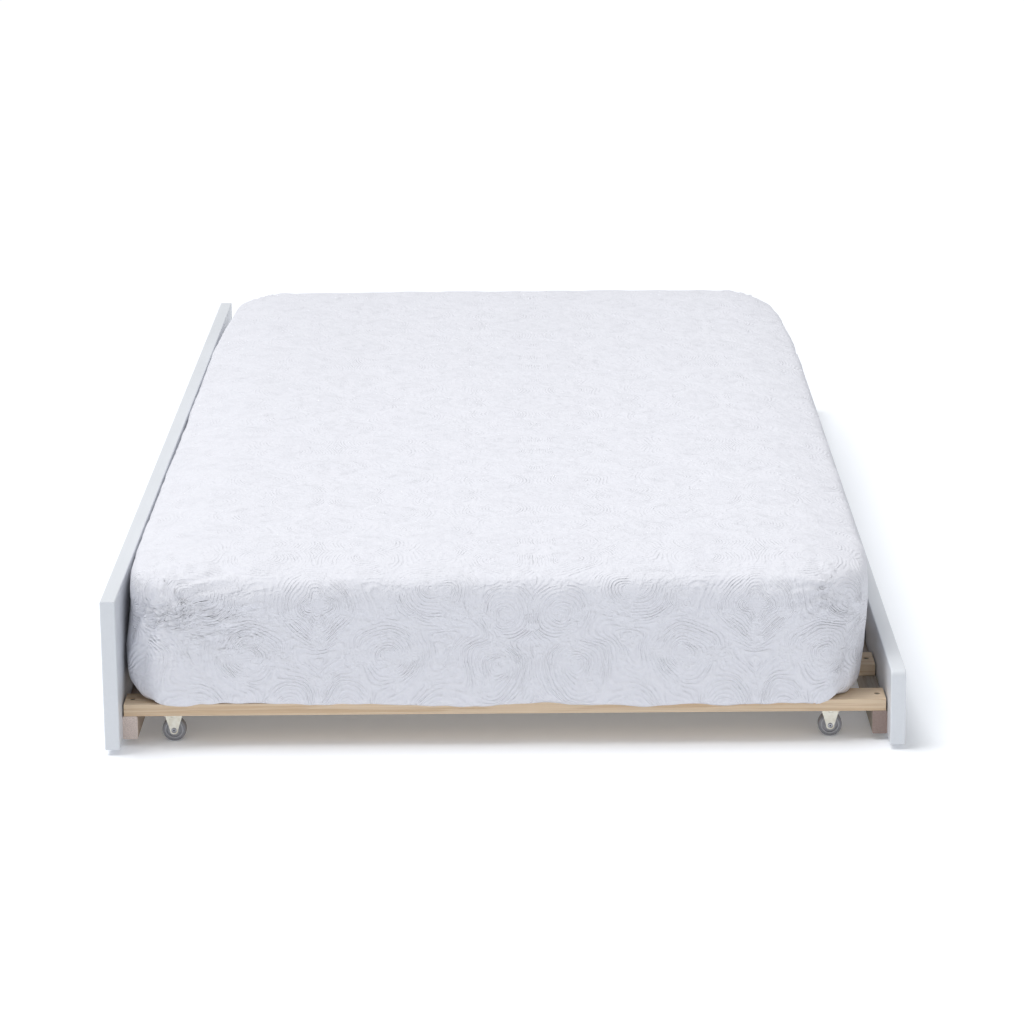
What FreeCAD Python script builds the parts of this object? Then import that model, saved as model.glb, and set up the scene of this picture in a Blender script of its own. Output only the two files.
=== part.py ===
import FreeCAD, Part
import math
import os
import Sketcher

# Trundle bed: two painted side panels joined by a deck of pine slats, on six small fixed
# casters, with a mattress in a fitted cover. It rolls sideways out from under another bed.
#
# Millimetres. +X points to the low rear panel, +Y along the bed to its far end, +Z up.
# The origin is on the floor, under the middle of the frame.

DIMENSIONS = {
    # side panels
    "bed_length": 1970,
    "bed_width": 1064,
    "panel_thick": 20,
    "panel_lift": 7.5,
    "front_tall": 205,
    "rear_tall": 102,
    "rear_corner": 9,
    "panel_ease": 2,
    # ledgers that carry the slat ends
    "ledger_wide": 20,
    "ledger_tall": 32,
    "ledger_ease": 2,
    # slats
    "slat_thick": 16.5,
    "slat_wide": 58,
    "end_slat_wide": 50,
    "slat_inset": 41,
    "slat_gap": 2,
    "slat_ease": 0.8,
    "end_bay": 160,
    # wood screws
    "screw_inset": 10,
    "screw_sink": 1.5,
    "screw_head": 4,
    "screw_head_deep": 3,
    "screw_rim": 0.4,
    "screw_shank": 1.9,
    "screw_point": 4,
    "screw_long": 32,
    "pan_head": 3.6,
    "pan_head_deep": 2.2,
    "pan_long": 12,
    "recess_wide": 1.1,
    "recess_long": 4.6,
    "recess_deep": 1.4,
    # casters
    "caster_tall": 41,
    "wheel_radius": 16,
    "tyre_wide": 14,
    "tyre_round": 2.5,
    "rim_radius": 12.4,
    "rim_lip": 1.6,
    "rim_wide": 13,
    "web_thick": 6,
    "boss_radius": 5.5,
    "boss_wide": 15.6,
    "axle_radius": 2.5,
    "axle_bore": 1.1,
    "axle_head": 3.6,
    "axle_head_deep": 1.1,
    "running_gap": 0.05,
    "steel_thick": 1.5,
    "fork_wide": 25,
    "fork_gap": 17,
    "fork_tip": 5.6,
    "plate_long": 45,
    "plate_corner": 3,
    "plate_holes": 34,
    "front_caster": 445,
    "rear_caster": 437,
    # mattress and its fitted cover
    "mattress_wide": 981,
    "mattress_long": 1920,
    "mattress_deep": 187.5,
    "mattress_offset": -6.5,
    "corner_radius": 95,
    "shoulder": 34,
    "bottom_round": 14,
    "cover_thick": 2.5,
    "hem_turn": 60,
}

SLATS = 13
MIDDLE = (SLATS - 1) // 2
END_BAYS = 2
CASTER_SLATS = (1, MIDDLE + 1, SLATS)
LEDGER_BAYS = (1, 3, 5, 8, 10, 12)

doc = FreeCAD.newDocument("trundle_bed")
sheet = doc.addObject("Spreadsheet::Sheet", "dims")
for row, (alias, value) in enumerate(DIMENSIONS.items(), start=1):
    sheet.set(f"A{row}", alias)
    sheet.set(f"B{row}", str(value))
    sheet.setAlias(f"B{row}", alias)
doc.recompute()

nodes = []


def vector(x, y, z=0):
    return FreeCAD.Vector(x, y, z)


def bind(thing, **formulas):
    """Ties properties to formulas over the sheet; x, y and z stand for its position."""
    for name, formula in formulas.items():
        path = f"Placement.Base.{name}" if name in ("x", "y", "z") else name
        thing.setExpression(path, formula)


def node(thing, label):
    """Makes an object one of the bed's sub-parts."""
    thing.Label = label
    nodes.append(thing)
    return thing


# Formulas that several sub-parts share.

LEDGER_TOP = "dims.caster_tall"
SLAT_TOP = "(dims.caster_tall + dims.slat_thick)"
SLAT_LONG = "(dims.bed_width - 2 * dims.panel_thick - 2 * dims.slat_gap)"
INNER_FACE = "(dims.bed_width / 2 - dims.panel_thick)"
SCREW_LINE = f"({SLAT_LONG} / 2 - dims.screw_inset)"
END_SLAT = "(dims.bed_length / 2 - dims.slat_inset - dims.end_slat_wide / 2)"
EVEN_BAYS = f"{MIDDLE - END_BAYS}"
EVEN_BAY = f"(({END_SLAT} - {END_BAYS} * dims.end_bay) / {EVEN_BAYS})"
LEDGER_LONG = "(dims.bed_length - 2 * dims.slat_inset)"


def slat_line(number):
    """Where a slat's centre line is along the bed. The two bays at each end are wider."""
    steps = number - 1 - MIDDLE
    if abs(steps) <= MIDDLE - END_BAYS:
        return f"({steps} * {EVEN_BAY})"
    side = 1 if steps > 0 else -1
    bays = MIDDLE - abs(steps)
    return f"({side} * ({END_SLAT} - {bays} * dims.end_bay))"


def bay_line(number):
    """The middle of the bay that follows a slat."""
    return f"(({slat_line(number)} + {slat_line(number + 1)}) / 2)"


# Sketches and features


def sketch_on(body, role, name):
    """A sketch on one of a body's own origin planes."""
    plane = next(f for f in body.Origin.OriginFeatures if f.Role == role)
    sketch = body.newObject("Sketcher::SketchObject", name)
    sketch.AttachmentSupport = [(plane, "")]
    sketch.MapMode = "FlatFace"
    return sketch


def pin_point(sketch, geometry, end, across, up, start):
    """Holds a sketch point at two formulas' distances from the sketch's origin."""
    for kind, formula, guess in (("DistanceX", across, start[0]), ("DistanceY", up, start[1])):
        index = sketch.addConstraint(Sketcher.Constraint(kind, -1, 1, geometry, end, guess))
        sketch.setExpression(f"Constraints[{index}]", formula)


def outline(sketch, corners):
    """A closed outline of straight sides, whose corners are pairs of formulas."""
    count = len(corners)
    first = sketch.GeometryCount
    turn = 2 * math.pi / count
    starts = [(math.cos(i * turn + 0.1), math.sin(i * turn + 0.1)) for i in range(count)]
    for i in range(count):
        a, b = starts[i], starts[(i + 1) % count]
        sketch.addGeometry(Part.LineSegment(vector(*a), vector(*b)))
    for i in range(count):
        joint = (first + i, 2, first + (i + 1) % count, 1)
        sketch.addConstraint(Sketcher.Constraint("Coincident", *joint))
    for i, (across, up) in enumerate(corners):
        pin_point(sketch, first + i, 1, across, up, starts[i])


def rectangle(sketch, left, right, low, high):
    outline(sketch, [(left, low), (right, low), (right, high), (left, high)])


def circle(sketch, across, up, radius):
    """A circle whose centre and radius are formulas."""
    index = sketch.addGeometry(Part.Circle(vector(1, 1), vector(0, 0, 1), 1))
    pin_point(sketch, index, 3, across, up, (1, 1))
    size = sketch.addConstraint(Sketcher.Constraint("Radius", index, 1))
    sketch.setExpression(f"Constraints[{size}]", radius)


def pad(body, sketch, length, middle=False):
    feature = body.newObject("PartDesign::Pad", f"{sketch.Name}_pad")
    feature.Profile = sketch
    feature.Midplane = middle
    feature.setExpression("Length", length)
    doc.recompute()
    return feature


def pocket(body, sketch, length=None):
    """Cuts both ways from the sketch, to a length or right through, and checks that it cut."""
    before = body.Shape.Volume
    feature = body.newObject("PartDesign::Pocket", f"{sketch.Name}_pocket")
    feature.Profile = sketch
    feature.Midplane = True
    if length is None:
        feature.Type = "ThroughAll"
    else:
        feature.setExpression("Length", length)
    doc.recompute()
    if body.Shape.Volume >= before:
        raise RuntimeError(f"{feature.Name} cuts nothing")
    return feature


def rounded(body, name, radius, test):
    """Fillets the edges of a body that pass a test."""
    base = body.Tip
    edges = [f"Edge{i}" for i, e in enumerate(base.Shape.Edges, start=1) if test(e)]
    feature = body.newObject("PartDesign::Fillet", name)
    feature.Base = (base, edges)
    feature.setExpression("Radius", radius)
    doc.recompute()
    return feature


def turned(body, sketch, name):
    """Revolves a sketch about its vertical axis."""
    feature = body.newObject("PartDesign::Revolution", name)
    feature.Profile = sketch
    feature.ReferenceAxis = (sketch, ["V_Axis"])
    feature.Angle = 360
    doc.recompute()
    return feature


def along(edge, axis):
    """Whether an edge is straight and runs along an axis, 0, 1 or 2."""
    if edge.Curve.TypeId != "Part::GeomLine":
        return False
    return abs(abs(edge.Curve.Direction[axis]) - 1) < 1e-6


def level(edge, height):
    """Whether an edge lies flat at a height."""
    box = edge.BoundBox
    return abs(box.ZMin - height) < 1e-4 and abs(box.ZMax - height) < 1e-4


def drilled(base, tools, label):
    """Cuts a list of tool objects out of a base object."""
    holes = doc.addObject("Part::Compound", f"{label}_holes")
    holes.Links = tools
    cut = doc.addObject("Part::Cut", label)
    cut.Base = base
    cut.Tool = holes
    return node(cut, label)


def drill(name, radius, length, x, y, z, turn=None):
    """A round hole tool that runs from its start point along +Z, or turned from there."""
    tool = doc.addObject("Part::Cylinder", name)
    if turn is not None:
        tool.Placement.Rotation = turn
    bind(tool, Radius=radius, Height=length, x=x, y=y, z=z)
    return tool


TO_MINUS_X = FreeCAD.Rotation(vector(0, 1, 0), -90)
TO_PLUS_X = FreeCAD.Rotation(vector(0, 1, 0), 90)


# Side panels

PILOT = "(dims.screw_long + dims.screw_sink - dims.ledger_wide)"
LEDGER_SCREW_UP = f"({LEDGER_TOP} - dims.ledger_tall / 2)"


def panel(label, side, tall, corner):
    """A board on edge. Its inner face has blind holes for the screws of its ledger."""
    body = doc.addObject("PartDesign::Body", f"{label}_board")
    sketch = sketch_on(body, "YZ_Plane", f"{label}_face")
    rectangle(sketch, "-dims.bed_length / 2", "dims.bed_length / 2", "0", tall)
    pad(body, sketch, "dims.panel_thick", middle=True)
    height = body.Tip.Shape.BoundBox.ZMax
    if corner:
        is_top_corner = lambda e: along(e, 0) and level(e, height)
        rounded(body, f"{label}_corners", corner, is_top_corner)
    rounded(body, f"{label}_arrises", "dims.panel_ease", lambda e: not along(e, 0))
    bind(body, x=f"{side} * (dims.bed_width - dims.panel_thick) / 2", z="dims.panel_lift")
    turn = TO_PLUS_X if side > 0 else TO_MINUS_X
    holes = [
        drill(f"{label}_pilot_{bay}", "dims.screw_shank", PILOT, f"{side} * {INNER_FACE}",
              bay_line(bay), LEDGER_SCREW_UP, turn)
        for bay in LEDGER_BAYS
    ]
    drilled(body, holes, label)


panel("front_panel", -1, "dims.front_tall", None)
panel("rear_panel", 1, "dims.rear_tall", "dims.rear_corner")


# Ledgers


def ledger(label, side):
    """A batten under the slat ends, drilled for their screws and for its own."""
    body = doc.addObject("PartDesign::Body", f"{label}_batten")
    sketch = sketch_on(body, "XZ_Plane", f"{label}_end")
    rectangle(sketch, "-dims.ledger_wide / 2", "dims.ledger_wide / 2",
              "-dims.ledger_tall", "0")
    pad(body, sketch, LEDGER_LONG, middle=True)
    rounded(body, f"{label}_arrises", "dims.ledger_ease", lambda e: along(e, 1))
    bind(body, x=f"{side} * ({INNER_FACE} - dims.ledger_wide / 2)", z=LEDGER_TOP)
    bite = "(dims.screw_long + dims.screw_sink - dims.slat_thick)"
    holes = [
        drill(f"{label}_slat_hole_{n}", "dims.screw_shank", bite, f"{side} * {SCREW_LINE}",
              slat_line(n), f"{LEDGER_TOP} - {bite}")
        for n in range(1, SLATS + 1)
    ]
    turn = TO_PLUS_X if side > 0 else TO_MINUS_X
    inside = f"{side} * ({INNER_FACE} - dims.ledger_wide)"
    for bay in LEDGER_BAYS:
        place = (bay_line(bay), LEDGER_SCREW_UP, turn)
        head = f"{label}_head_{bay}"
        deep = "dims.screw_sink + dims.screw_head_deep"
        holes.append(drill(head, "dims.screw_head", deep, inside, *place))
        through = f"{label}_bore_{bay}"
        holes.append(drill(through, "dims.screw_shank", "dims.ledger_wide", inside, *place))
    drilled(body, holes, label)


ledger("front_ledger", -1)
ledger("rear_ledger", 1)


# Slats

PAN_BITE = "(dims.pan_long - dims.steel_thick)"


def slat(number):
    """A board across the bed, with a sunk screw hole at each end."""
    label = f"slat_{number:02d}"
    line = slat_line(number)
    wide = "dims.end_slat_wide" if number in (1, SLATS) else "dims.slat_wide"
    board = doc.addObject("PartDesign::Body", f"{label}_board")
    sketch = sketch_on(board, "YZ_Plane", f"{label}_end")
    rectangle(sketch, f"-{wide} / 2", f"{wide} / 2", "0", "dims.slat_thick")
    pad(board, sketch, SLAT_LONG, middle=True)
    rounded(board, f"{label}_arrises", "dims.slat_ease", lambda e: along(e, 0))
    bind(board, y=line, z="dims.caster_tall")
    holes = []
    for side, end in ((-1, "front"), (1, "rear")):
        x = f"{side} * {SCREW_LINE}"
        deep = "(dims.screw_sink + dims.screw_head_deep)"
        holes.append(drill(f"{label}_{end}_sink", "dims.screw_head", deep,
                           x, line, f"{SLAT_TOP} - {deep}"))
        holes.append(drill(f"{label}_{end}_bore", "dims.screw_shank", "dims.slat_thick",
                           x, line, "dims.caster_tall"))
    if number in CASTER_SLATS:
        for column in ("front_caster", "rear_caster"):
            side = -1 if column == "front_caster" else 1
            for ear in (-1, 1):
                name = f"{label}_{column}_{'near' if ear < 0 else 'far'}"
                holes.append(drill(name, "dims.screw_shank", PAN_BITE, f"{side} * dims.{column}",
                                   f"{line} + {ear} * dims.plate_holes / 2", "dims.caster_tall"))
    drilled(board, holes, label)


for number in range(1, SLATS + 1):
    slat(number)


# Casters. Each piece is drawn about the middle of its axle, which lies along the bed.

PLATE_TOP = "(dims.caster_tall - dims.wheel_radius)"
PLATE_UNDER = f"({PLATE_TOP} - dims.steel_thick)"
FORK_OUTSIDE = "(dims.fork_gap + 2 * dims.steel_thick)"


def caster_place(piece, column, line):
    side = -1 if column == "front_caster" else 1
    bind(piece, x=f"{side} * dims.{column}", y=line, z="dims.wheel_radius")


def bracket(number, column, line):
    """A pressed steel fork: a flat plate with a tapered leg on each side of the wheel."""
    body = doc.addObject("PartDesign::Body", f"caster_bracket_{number}")
    legs = sketch_on(body, "XZ_Plane", f"legs_{number}")
    outline(legs, [("-dims.fork_tip", "-dims.fork_tip"), ("dims.fork_tip", "-dims.fork_tip"),
                   ("dims.fork_tip", "1"), ("dims.fork_wide / 2", PLATE_UNDER),
                   ("-dims.fork_wide / 2", PLATE_UNDER), ("-dims.fork_tip", "1")])
    pad(body, legs, FORK_OUTSIDE, middle=True)
    is_tip = lambda e: along(e, 1) and e.BoundBox.ZMax < -1
    rounded(body, f"fork_tips_{number}", "dims.fork_tip - 0.1", is_tip)
    room = sketch_on(body, "XZ_Plane", f"wheel_room_{number}")
    rectangle(room, "-dims.fork_wide", "dims.fork_wide", "-dims.wheel_radius", PLATE_TOP)
    pocket(body, room, "dims.fork_gap")
    plate = sketch_on(body, "XY_Plane", f"plate_{number}")
    plate.setExpression("AttachmentOffset.Base.z", PLATE_UNDER)
    rectangle(plate, "-dims.fork_wide / 2", "dims.fork_wide / 2",
              "-dims.plate_long / 2", "dims.plate_long / 2")
    pad(body, plate, "dims.steel_thick")
    far = body.Tip.Shape.BoundBox.YMax
    is_plate_corner = lambda e: along(e, 2) and abs(abs(e.BoundBox.Center.y) - far) < 0.01
    rounded(body, f"plate_corners_{number}", "dims.plate_corner", is_plate_corner)
    holes = sketch_on(body, "XY_Plane", f"plate_holes_{number}")
    for side in (-1, 1):
        circle(holes, "0", f"{side} * dims.plate_holes / 2", "dims.screw_shank")
    pocket(body, holes)
    bore = sketch_on(body, "XZ_Plane", f"axle_hole_{number}")
    circle(bore, "0", "0", "dims.axle_radius")
    pocket(body, bore)
    caster_place(body, column, line)
    return node(body, f"caster_bracket_{number}")


def axle(number, column, line):
    """A tubular rivet, headed at both ends, that the wheel turns on."""
    body = doc.addObject("PartDesign::Body", f"axle_{number}")
    sketch = sketch_on(body, "XY_Plane", f"axle_profile_{number}")
    bore, shaft, head = "dims.axle_bore", "dims.axle_radius", "dims.axle_head"
    inside = f"{FORK_OUTSIDE} / 2"
    outside = f"({FORK_OUTSIDE} / 2 + dims.axle_head_deep)"
    edge = f"({FORK_OUTSIDE} / 2 + dims.axle_head_deep / 2)"
    right = [(shaft, inside), (head, inside), (head, edge), (shaft, outside), (bore, outside)]
    left = [(across, f"-{up}") for across, up in reversed(right)]
    outline(sketch, left + right)
    turned(body, sketch, f"axle_turned_{number}")
    caster_place(body, column, line)
    return node(body, f"axle_{number}")


def hub(number, column, line):
    """A moulded wheel centre with a thin web between its boss and its rim."""
    body = doc.addObject("PartDesign::Body", f"wheel_hub_{number}")
    sketch = sketch_on(body, "XY_Plane", f"hub_profile_{number}")
    bore = "(dims.axle_radius + dims.running_gap)"
    lip = "(dims.rim_radius - dims.rim_lip)"
    side = [("dims.rim_radius", "dims.rim_wide / 2"), (lip, "dims.rim_wide / 2"),
            (lip, "dims.web_thick / 2"), ("dims.boss_radius", "dims.web_thick / 2"),
            ("dims.boss_radius", "dims.boss_wide / 2"), (bore, "dims.boss_wide / 2")]
    other = [(across, f"-{up}") for across, up in reversed(side)]
    outline(sketch, side + other)
    turned(body, sketch, f"hub_turned_{number}")
    caster_place(body, column, line)
    return node(body, f"wheel_hub_{number}")


def tyre(number, column, line):
    """A soft tread with rounded shoulders, moulded on the hub."""
    body = doc.addObject("PartDesign::Body", f"tyre_{number}")
    sketch = sketch_on(body, "XY_Plane", f"tyre_profile_{number}")
    rectangle(sketch, "dims.rim_radius", "dims.wheel_radius",
              "-dims.tyre_wide / 2", "dims.tyre_wide / 2")
    turned(body, sketch, f"tyre_turned_{number}")
    outside = body.Tip.Shape.BoundBox.XMax
    is_shoulder = lambda e: abs(e.BoundBox.XMax - outside) < 1e-4 and not along(e, 1)
    rounded(body, f"tyre_shoulders_{number}", "dims.tyre_round", is_shoulder)
    caster_place(body, column, line)
    return node(body, f"tyre_{number}")


casters = [(column, slat_line(n)) for n in CASTER_SLATS for column in ("front_caster", "rear_caster")]
for number, (column, line) in enumerate(casters, start=1):
    bracket(number, column, line)
    axle(number, column, line)
    hub(number, column, line)
    tyre(number, column, line)


# Mattress and cover


def block(name, inset, low, tall):
    """A mattress-shaped block, smaller all round than the covered mattress by an inset."""
    body = doc.addObject("PartDesign::Body", name)
    sketch = sketch_on(body, "XY_Plane", f"{name}_plan")
    wide = f"(dims.mattress_wide / 2 - {inset})"
    far = f"(dims.mattress_long / 2 - {inset})"
    rectangle(sketch, f"-{wide}", wide, f"-{far}", far)
    pad(body, sketch, tall)
    rounded(body, f"{name}_corners", f"dims.corner_radius - {inset}", lambda e: along(e, 2))
    bind(body, x="dims.mattress_offset", z=low)
    return body


def soften(body, inset):
    """Rounds a block's top and bottom edges."""
    top = body.Tip.Shape.BoundBox.ZMax
    low = body.Tip.Shape.BoundBox.ZMin
    rounded(body, f"{body.Name}_shoulder", f"dims.shoulder - {inset}", lambda e: level(e, top))
    rounded(body, f"{body.Name}_foot", f"dims.bottom_round - {inset}", lambda e: level(e, low))


skin = block("cover_outside", "0", SLAT_TOP, "dims.mattress_deep")
soften(skin, "0")
core = block("mattress_block", "dims.cover_thick", f"{SLAT_TOP} + dims.cover_thick",
             "dims.mattress_deep - 2 * dims.cover_thick")
soften(core, "dims.cover_thick")
node(core, "mattress_core")
mouth = block("cover_opening", "dims.hem_turn", f"{SLAT_TOP} - dims.cover_thick",
              "3 * dims.cover_thick")
hollow = doc.addObject("Part::Fuse", "cover_hollow")
hollow.Base = core
hollow.Tool = mouth
cover = doc.addObject("Part::Cut", "mattress_cover")
cover.Base = skin
cover.Tool = hollow
node(cover, "mattress_cover")
doc.recompute()


# Fasteners. Each kind is modelled once, pointing down from its head, and repeated.


def size(alias):
    return float(getattr(sheet, alias))


def screw(name, head, sloping, head_deep, long):
    """A wood screw with a cross recess in its head. The top of the head is at its origin."""
    body = doc.addObject("PartDesign::Body", name)
    sketch = sketch_on(body, "XZ_Plane", f"{name}_profile")
    shank = "dims.screw_shank"
    rim = [(head, "-dims.screw_rim")] if sloping else [(head, f"-{head_deep}")]
    tip = [(shank, f"-{head_deep}"), (shank, f"-{long} + dims.screw_point"), ("0", f"-{long}")]
    outline(sketch, [("0", "0"), (head, "0")] + rim + tip)
    turned(body, sketch, f"{name}_turned")
    for turn in (0, 1):
        slot = sketch_on(body, "XY_Plane", f"{name}_slot_{turn}")
        half = ["dims.recess_long / 2", "dims.recess_wide / 2"]
        if turn:
            half.reverse()
        rectangle(slot, f"-{half[0]}", half[0], f"-{half[1]}", half[1])
        pocket(body, slot, "2 * dims.recess_deep")
    return body


sunk = screw("sunk_screw", "dims.screw_head", True, "dims.screw_head_deep", "dims.screw_long")
pan = screw("pan_screw", "dims.pan_head", False, "dims.pan_head_deep",
            "(dims.pan_long + dims.pan_head_deep)")


def fasteners(label, master, places):
    """Copies of one fastener, as separate solids in one node."""
    group = doc.addObject("Part::Feature", label)
    group.Shape = Part.Compound([master.Shape.transformed(p.toMatrix()) for p in places])
    return node(group, label)


end_slat = size("bed_length") / 2 - size("slat_inset") - size("end_slat_wide") / 2
slat_end = size("bed_width") / 2 - size("panel_thick") - size("slat_gap")
inner_face = size("bed_width") / 2 - size("panel_thick")
even_bay = (end_slat - END_BAYS * size("end_bay")) / (MIDDLE - END_BAYS)


def slat_at(number):
    steps = number - 1 - MIDDLE
    even = min(abs(steps), MIDDLE - END_BAYS)
    reach = even * even_bay + (abs(steps) - even) * size("end_bay")
    return math.copysign(reach, steps) if steps else 0.0


UP = FreeCAD.Rotation()
DOWN = FreeCAD.Rotation(vector(1, 0, 0), 180)

head_up = size("caster_tall") + size("slat_thick") - size("screw_sink")
fasteners("slat_screws", sunk, [
    FreeCAD.Placement(vector(side * (slat_end - size("screw_inset")), slat_at(n), head_up), UP)
    for n in range(1, SLATS + 1)
    for side in (-1, 1)
])

head_in = inner_face - size("ledger_wide") + size("screw_sink")
ledger_up = size("caster_tall") - size("ledger_tall") / 2
fasteners("ledger_screws", sunk, [
    FreeCAD.Placement(vector(side * head_in, (slat_at(bay) + slat_at(bay + 1)) / 2, ledger_up),
                      FreeCAD.Rotation(vector(0, 1, 0), -90 * side))
    for bay in LEDGER_BAYS
    for side in (-1, 1)
])

pan_up = size("caster_tall") - size("steel_thick") - size("pan_head_deep")
fasteners("caster_screws", pan, [
    FreeCAD.Placement(vector(x, slat_at(n) + ear * size("plate_holes") / 2, pan_up), DOWN)
    for n in CASTER_SLATS
    for x in (-size("front_caster"), size("rear_caster"))
    for ear in (-1, 1)
])


# Check everything, then write one file for each sub-part.

doc.recompute()
for thing in doc.Objects:
    if "Invalid" in thing.State or "Error" in thing.State:
        raise RuntimeError(f"{thing.Label} failed: {thing.State}")

os.makedirs("parts", exist_ok=True)
for thing in nodes:
    shape = thing.Shape
    if shape.isNull() or not shape.isValid():
        raise RuntimeError(f"{thing.Label} has no valid shape")
    shape.exportStep(f"parts/{thing.Label}.step")
    print(f"{thing.Label}: {len(shape.Solids)} solid(s), {shape.Volume / 1000:.2f} cm3")
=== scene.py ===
import math

import bmesh
import bpy
import numpy as np
from mathutils import Matrix, Vector, noise


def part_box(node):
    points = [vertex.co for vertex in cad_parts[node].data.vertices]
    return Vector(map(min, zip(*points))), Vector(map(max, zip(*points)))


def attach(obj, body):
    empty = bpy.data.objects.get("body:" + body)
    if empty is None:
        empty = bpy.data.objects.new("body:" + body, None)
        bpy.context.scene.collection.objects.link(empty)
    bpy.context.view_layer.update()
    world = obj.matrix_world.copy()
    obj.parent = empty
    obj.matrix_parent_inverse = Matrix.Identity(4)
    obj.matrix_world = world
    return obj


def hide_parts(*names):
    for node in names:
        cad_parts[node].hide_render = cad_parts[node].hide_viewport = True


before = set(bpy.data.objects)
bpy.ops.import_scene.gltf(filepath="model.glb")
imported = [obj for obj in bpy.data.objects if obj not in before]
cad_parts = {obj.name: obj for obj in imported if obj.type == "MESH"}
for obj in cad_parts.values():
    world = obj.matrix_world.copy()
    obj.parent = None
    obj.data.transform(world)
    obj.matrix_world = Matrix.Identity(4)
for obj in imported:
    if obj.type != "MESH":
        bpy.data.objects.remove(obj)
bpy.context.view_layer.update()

# A trundle bed in metres: white side panels, a deck of pine slats on small casters, and a
# mattress in a fitted white cover with a raised woven pattern. The bed is long in Y, its foot end
# is towards -Y, and the tall panel is on the left, towards -X.

scene = bpy.context.scene

MM = 0.001
SLAT_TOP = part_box("slat_01")[1].z
SLAT_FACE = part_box("slat_01")[0].y
PANEL_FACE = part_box("front_panel")[1].x
COVER_LOW, COVER_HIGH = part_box("mattress_cover")
MIDDLE = (COVER_LOW + COVER_HIGH) / 2
HALF_WIDE = (COVER_HIGH.x - COVER_LOW.x) / 2
HALF_LONG = (COVER_HIGH.y - COVER_LOW.y) / 2


# Building materials out of nodes


class Finish:
    """One material, and short ways to add nodes to it. An input is a number or a socket."""

    def __init__(self, name, roughness=0.6, metallic=0.0, **sockets):
        self.material = bpy.data.materials.new(name)
        self.material.use_nodes = True
        self.tree = self.material.node_tree
        self.shader = self.tree.nodes["Principled BSDF"]
        self.shader.inputs["Roughness"].default_value = roughness
        self.shader.inputs["Metallic"].default_value = metallic
        for socket, value in sockets.items():
            self.shader.inputs[socket.replace("_", " ")].default_value = value

    def add(self, kind, inputs=(), **settings):
        node = self.tree.nodes.new(kind)
        for key, value in settings.items():
            setattr(node, key, value)
        for key, value in dict(inputs).items():
            self.feed(node.inputs[key], value)
        return node

    def feed(self, socket, value):
        if isinstance(value, bpy.types.NodeSocket):
            self.tree.links.new(value, socket)
        else:
            socket.default_value = value

    def feed_colour(self, socket, value):
        self.feed(socket, value if isinstance(value, bpy.types.NodeSocket) else (*value, 1.0))

    def math(self, operation, *values):
        return self.add("ShaderNodeMath", enumerate(values), operation=operation).outputs[0]

    def smooth(self, value, low, high, start=0.0, end=1.0):
        """Rises smoothly from start to end as value goes from low to high."""
        inputs = {"Value": value, "From Min": low, "From Max": high, "To Min": start, "To Max": end}
        node = self.add("ShaderNodeMapRange", inputs, interpolation_type="SMOOTHSTEP")
        return node.outputs["Result"]

    def blend(self, factor, first, second):
        """A mix of two colours."""
        node = self.add("ShaderNodeMix", data_type="RGBA")
        self.feed(node.inputs["Factor"], factor)
        self.feed_colour(node.inputs[6], first)
        self.feed_colour(node.inputs[7], second)
        return node.outputs[2]

    def place(self, scale=(1, 1, 1), turn=(0, 0, 0)):
        """Object coordinates, scaled and turned."""
        source = self.add("ShaderNodeTexCoord").outputs["Object"]
        inputs = {"Vector": source, "Scale": scale, "Rotation": turn}
        return self.add("ShaderNodeMapping", inputs).outputs["Vector"]

    def noise(self, vector, scale, detail=2.0, rough=0.5, warp=0.0):
        inputs = {"Vector": vector, "Scale": scale, "Detail": detail, "Roughness": rough,
                  "Distortion": warp}
        return self.add("ShaderNodeTexNoise", inputs).outputs["Fac"]

    def colour(self, value):
        self.feed_colour(self.shader.inputs["Base Color"], value)

    def roughness(self, value):
        self.feed(self.shader.inputs["Roughness"], value)

    def bump(self, *layers):
        """Stacks bumps, each a height socket and its depth in metres."""
        normal = None
        for height, depth in layers:
            node = self.add("ShaderNodeBump", {"Strength": 1.0, "Distance": depth, "Height": height})
            if normal is not None:
                self.feed(node.inputs["Normal"], normal)
            normal = node.outputs["Normal"]
        self.feed(self.shader.inputs["Normal"], normal)


# Painted board


def white_paint():
    """Satin paint, faintly pebbled, with faint streaks along the board."""
    finish = Finish("white_paint", roughness=0.42, Coat_Weight=0.15, Coat_Roughness=0.25)
    spot = finish.place()
    cloud = finish.noise(spot, 5.0, detail=4.0)
    brushed = finish.noise(finish.place(scale=(60, 1.2, 60)), 3.0, detail=3.0)
    tone = finish.blend(cloud, (0.730, 0.757, 0.797), (0.760, 0.785, 0.820))
    streaks = finish.smooth(brushed, 0.35, 0.75, 0.0, 0.25)
    finish.colour(finish.blend(streaks, tone, (0.70, 0.725, 0.765)))
    finish.roughness(finish.smooth(cloud, 0.3, 0.7, 0.36, 0.48))
    peel = finish.noise(spot, 900.0, detail=2.0)
    finish.bump((brushed, 0.05 * MM), (peel, 0.03 * MM))
    return finish.material


# Pine


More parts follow.
